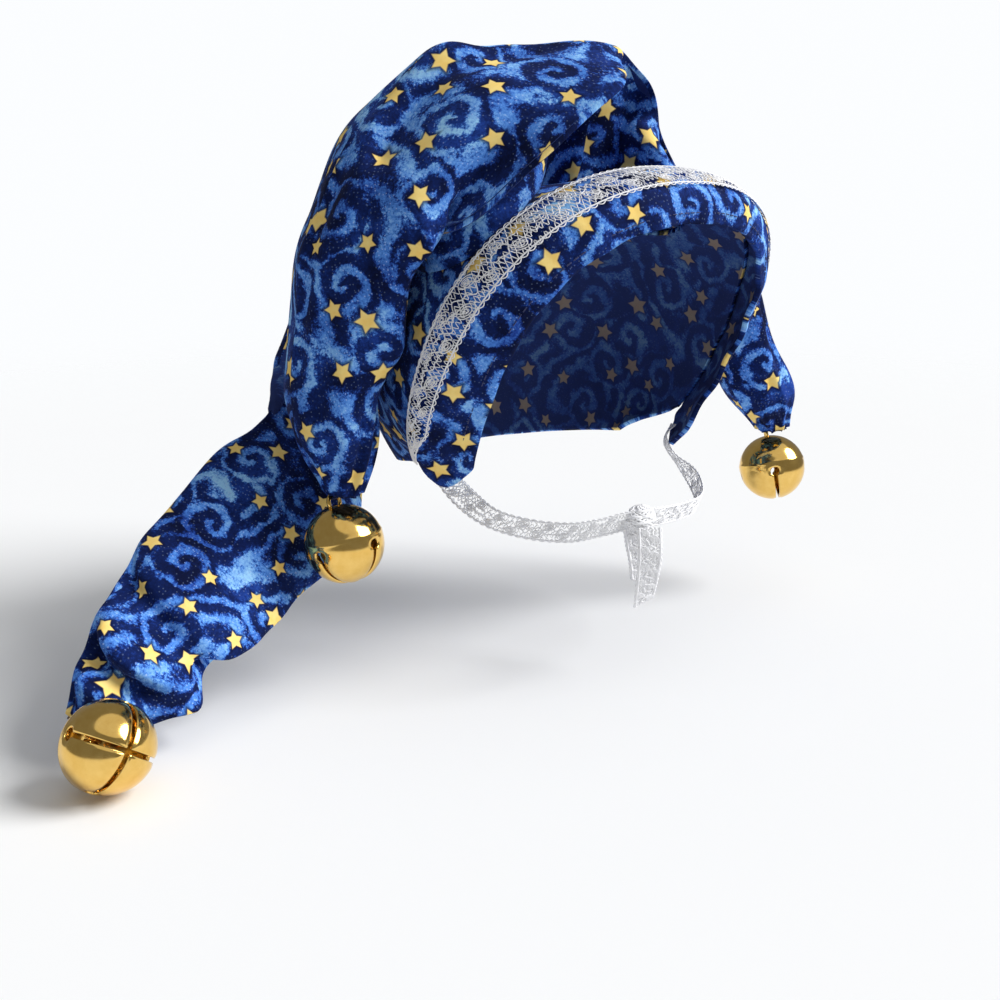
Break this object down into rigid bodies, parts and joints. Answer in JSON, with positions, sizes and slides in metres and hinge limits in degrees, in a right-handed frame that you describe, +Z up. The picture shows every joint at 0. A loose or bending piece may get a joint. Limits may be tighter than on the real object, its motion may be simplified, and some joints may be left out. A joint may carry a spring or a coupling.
{
  "type": "pet jester hat",
  "caption": "Soft printed cotton hood hat for a cat or small dog, with a crescent face brim, lace trim, chin tie and hanging cloth points that each end in a round jingle bell.",
  "frame": {"origin": "in the crown's cloth on the top of the wearer's head, at mount head_seat", "axes": "+Z up; the wearer looks along -Y and its right side is at -X; X is the longest extent"},
  "size_m": [0.2547, 0.1338, 0.1691],
  "materials": {
    "cotton": "matte printed cotton, deep blue with gold stars",
    "lace": "white net lace",
    "gold": "polished gold-coloured plating"
  },
  "bodies": {
    "root": {"crown": "cotton", "brim": "cotton", "horn_right": "cotton", "horn_left": "cotton", "tail_back": "cotton", "lace_trim": "lace", "chin_tie_right": "lace", "chin_tie_left": "lace", "tie_knot": "lace", "tie_end_front": "lace", "tie_end_rear": "lace", "bell_right": "gold", "bell_left": "gold", "bell_tail": "gold"}
  },
  "joints": []
}
